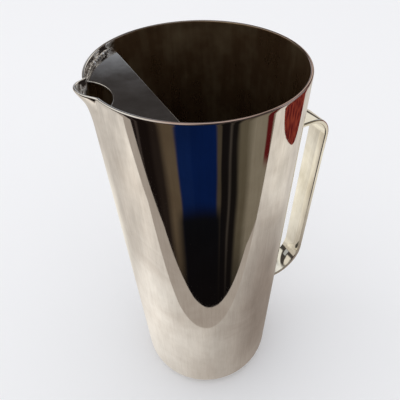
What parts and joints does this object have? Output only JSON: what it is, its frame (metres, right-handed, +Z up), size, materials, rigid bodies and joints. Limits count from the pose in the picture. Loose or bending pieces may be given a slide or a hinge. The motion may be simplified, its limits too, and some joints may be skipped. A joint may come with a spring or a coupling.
{
  "type": "bar pitcher with ice guard",
  "caption": "Tapered metal bar pitcher for stirred drinks: pinched pouring lip, fixed ice guard under the rim and a flat strap handle.",
  "frame": {"origin": "centre of the flat base, on the cup's axis", "axes": "+Z up along the cup's axis, +X towards the handle, -X towards the pouring lip"},
  "size_m": [0.1316, 0.098, 0.2091],
  "materials": {
    "polished_metal": "polished, lightly tarnished",
    "guard_metal": "polished, tarnished",
    "solder": "satin"
  },
  "bodies": {
    "root": {"cup": "polished_metal", "ice_guard": "guard_metal", "guard_solder_left": "solder", "guard_solder_right": "solder", "handle_strap": "polished_metal", "upper_handle_solder": "solder", "lower_handle_solder": "solder"}
  },
  "joints": []
}
